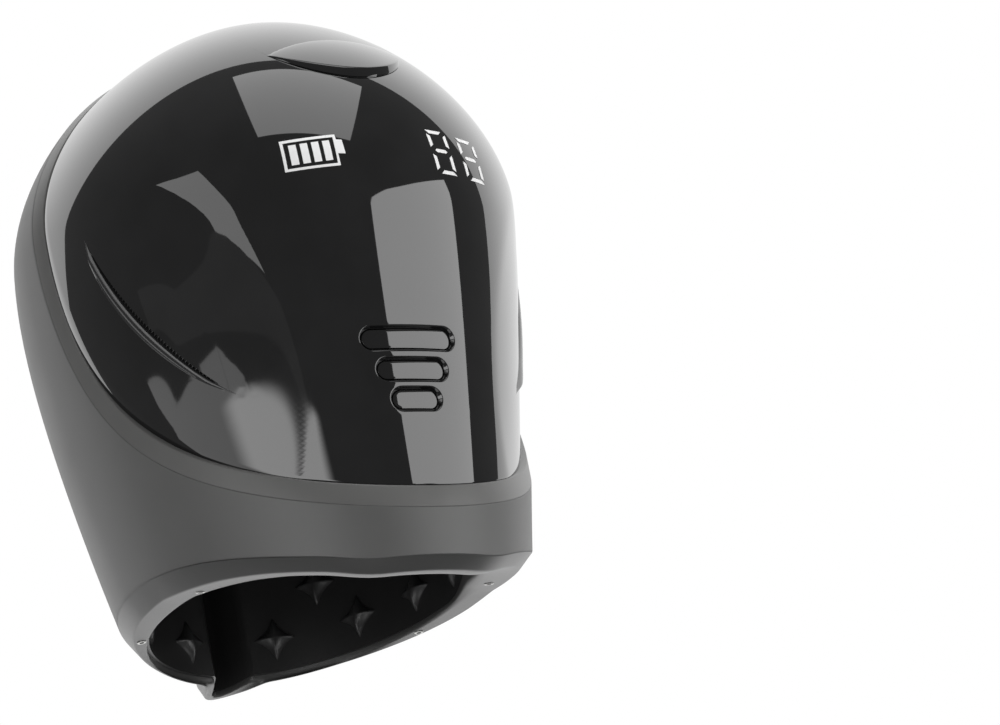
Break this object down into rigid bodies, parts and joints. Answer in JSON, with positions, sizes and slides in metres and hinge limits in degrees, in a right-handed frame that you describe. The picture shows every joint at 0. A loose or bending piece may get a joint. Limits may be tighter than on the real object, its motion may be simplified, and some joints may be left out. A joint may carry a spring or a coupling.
{
  "type": "hood hair dryer",
  "caption": "Rigid hood that goes over the head and dries hair: a fan in the crown blows warm air through a plenum and out round star bosses on the liner.",
  "frame": {"origin": "below the middle of the hood, in the plane that it stands on", "axes": "the face side is -Y, the wearer's left is +X, the crown is +Z"},
  "size_m": [0.28, 0.3504, 0.3599],
  "materials": {
    "visor_shell": "polished smoked gloss, nearly opaque",
    "rear_casing": "fine matte texture",
    "seam_trim": "satin",
    "rim_ring": "satin",
    "head_liner": "satin black",
    "star_bosses": "soft satin black",
    "plenum_gasket": "soft silicone",
    "gill": "satin mesh",
    "inner_plastic": "moulded",
    "fan_plastic": "glass filled, moulded",
    "fan_motor": "plain",
    "motor_shaft": "ground",
    "heater_frame": "mica board",
    "heater_element": "oxidised resistance wire",
    "thermal_cutoff": "plain",
    "battery_trays": "moulded",
    "battery_cells": "shrink sleeve",
    "circuit_board": "solder mask",
    "board_parts": "moulded",
    "display_modules": "lit lens",
    "tact_switches": "moulded",
    "return_pads": "soft silicone",
    "button_gloss": "polished",
    "charge_socket": "moulded",
    "screw": "zinc plated"
  },
  "bodies": {
    "hood": {"visor_shell": "visor_shell", "rear_casing": "rear_casing", "seam_trim": "seam_trim", "rim_ring": "rim_ring", "head_liner": "head_liner", "star_bosses": "star_bosses", "plenum_shell": "inner_plastic", "plenum_gasket": "plenum_gasket", "crown_cap": "button_gloss", "gill_left": "gill", "gill_right": "gill", "component_deck": "inner_plastic", "front_panel": "inner_plastic", "fan_shroud": "fan_plastic", "fan_motor": "fan_motor", "fan_grille": "fan_plastic", "heater_frame": "heater_frame", "heater_element": "heater_element", "thermal_cutoff": "thermal_cutoff", "battery_trays": "battery_trays", "battery_cells": "battery_cells", "main_board": "circuit_board", "board_parts": "board_parts", "display_board": "circuit_board", "display_modules": "display_modules", "switch_board": "circuit_board", "tact_switches": "tact_switches", "button_carrier": "inner_plastic", "return_pads": "return_pads", "charge_socket": "charge_socket", "rim_screws": "screw", "deck_screws": "screw", "board_screws": "screw", "fan_screws": "screw"},
    "impeller": {"impeller": "fan_plastic", "motor_shaft": "motor_shaft"},
    "top_button": {"top_button": "button_gloss"},
    "middle_button": {"middle_button": "button_gloss"},
    "lower_button": {"lower_button": "button_gloss"}
  },
  "joints": [
    {"name": "impeller_spin", "type": "hinge", "parent": "hood", "child": "impeller", "pos_m": [0, -0.00553, 0.30626], "axis": [0, -0.031, 0.9995], "continuous": true},
    {"name": "top_button_press", "type": "slide", "parent": "hood", "child": "top_button", "axis": [0, 0.9995, 0.031], "range_m": [0, 0.0012], "stiffness_N_per_m": 1500},
    {"name": "middle_button_press", "type": "slide", "parent": "hood", "child": "middle_button", "axis": [0, 0.9995, 0.031], "range_m": [0, 0.0012], "stiffness_N_per_m": 1500},
    {"name": "lower_button_press", "type": "slide", "parent": "hood", "child": "lower_button", "axis": [0, 0.9995, 0.031], "range_m": [0, 0.0012], "stiffness_N_per_m": 1500}
  ]
}
